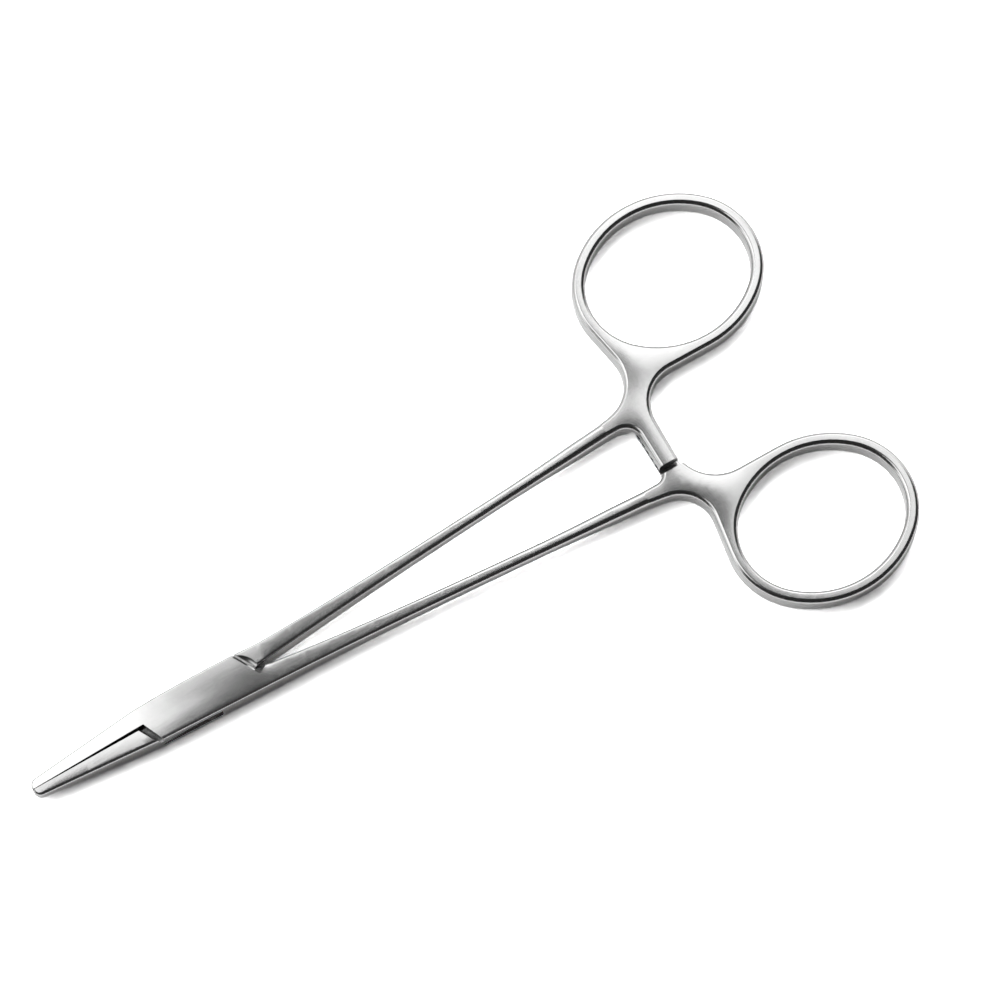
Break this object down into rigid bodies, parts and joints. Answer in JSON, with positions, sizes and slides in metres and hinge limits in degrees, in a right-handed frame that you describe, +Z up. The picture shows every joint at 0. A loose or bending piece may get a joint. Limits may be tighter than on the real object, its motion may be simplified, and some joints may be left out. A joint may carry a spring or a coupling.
{
  "type": "surgical needle holder",
  "caption": "Slender steel needle holder with short tapered jaws, a box-lock hinge, long thin shanks, a ratchet catch and oval finger rings.",
  "frame": {"origin": "on the pivot axis at the underside of the box, the face the closed instrument lies on", "axes": "+X from the jaws to the finger rings, +Y across towards the ring of the half that passes through the box, +Z up along the pivot axis"},
  "size_m": [0.1282, 0.0664, 0.0039],
  "materials": {
    "satin_steel": "satin"
  },
  "bodies": {
    "box_half": {"female_half": "satin_steel", "pivot_pin": "satin_steel"},
    "inner_half": {"male_half": "satin_steel"}
  },
  "joints": [
    {"name": "box_lock_pivot", "type": "hinge", "parent": "box_half", "child": "inner_half", "pos_m": [0, 0, 0.00195], "axis": [0, 0, 1], "range_deg": [0, 40]}
  ]
}
